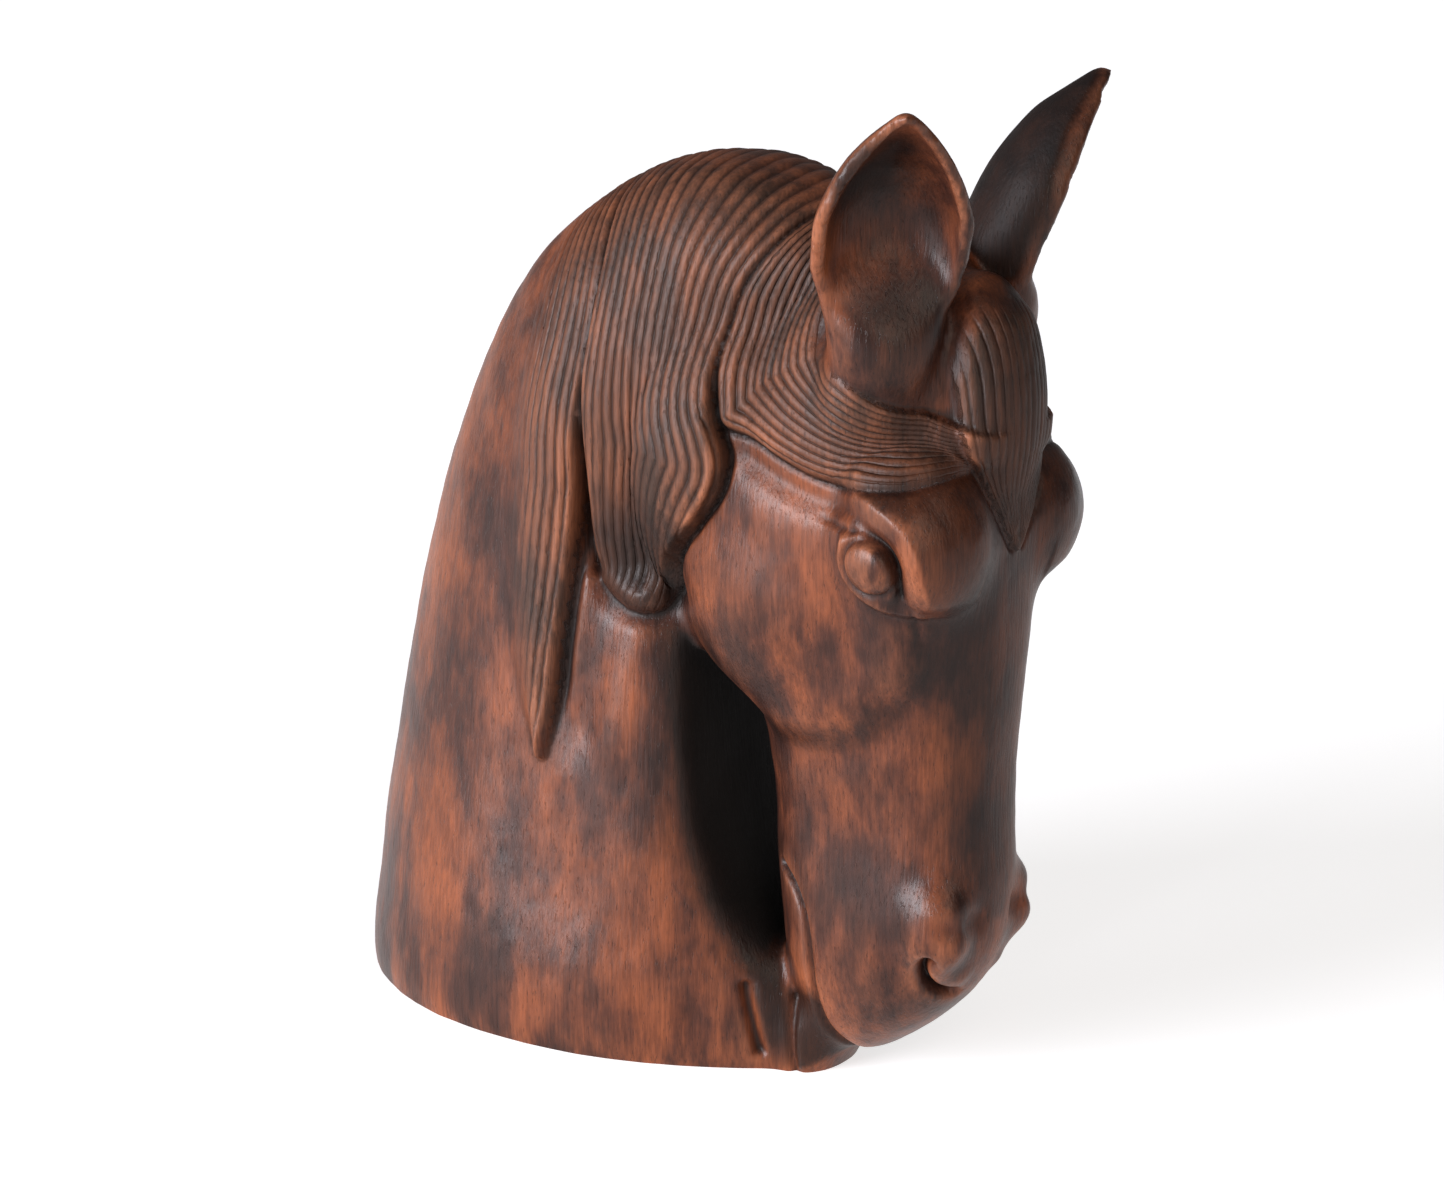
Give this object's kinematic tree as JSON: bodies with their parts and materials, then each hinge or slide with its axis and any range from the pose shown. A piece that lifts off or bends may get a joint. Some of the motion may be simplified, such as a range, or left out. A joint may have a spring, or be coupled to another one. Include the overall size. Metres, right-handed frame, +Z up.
{
  "type": "horse head sculpture",
  "caption": "Horse head with bowed muzzle, arched neck and combed mane, carved from one block of stained wood and standing on its flat-cut neck",
  "frame": {"origin": "on the flat underside, on the plane of symmetry, below the middle of the neck", "axes": "+X is the way the horse faces, +Y is its left, +Z is up"},
  "size_m": [0.2008, 0.0895, 0.2501],
  "materials": {
    "stained_hardwood": "dark brown stain with a satin varnish, worn lighter on the high places"
  },
  "bodies": {
    "root": {"horse_head": "stained_hardwood"}
  },
  "joints": []
}
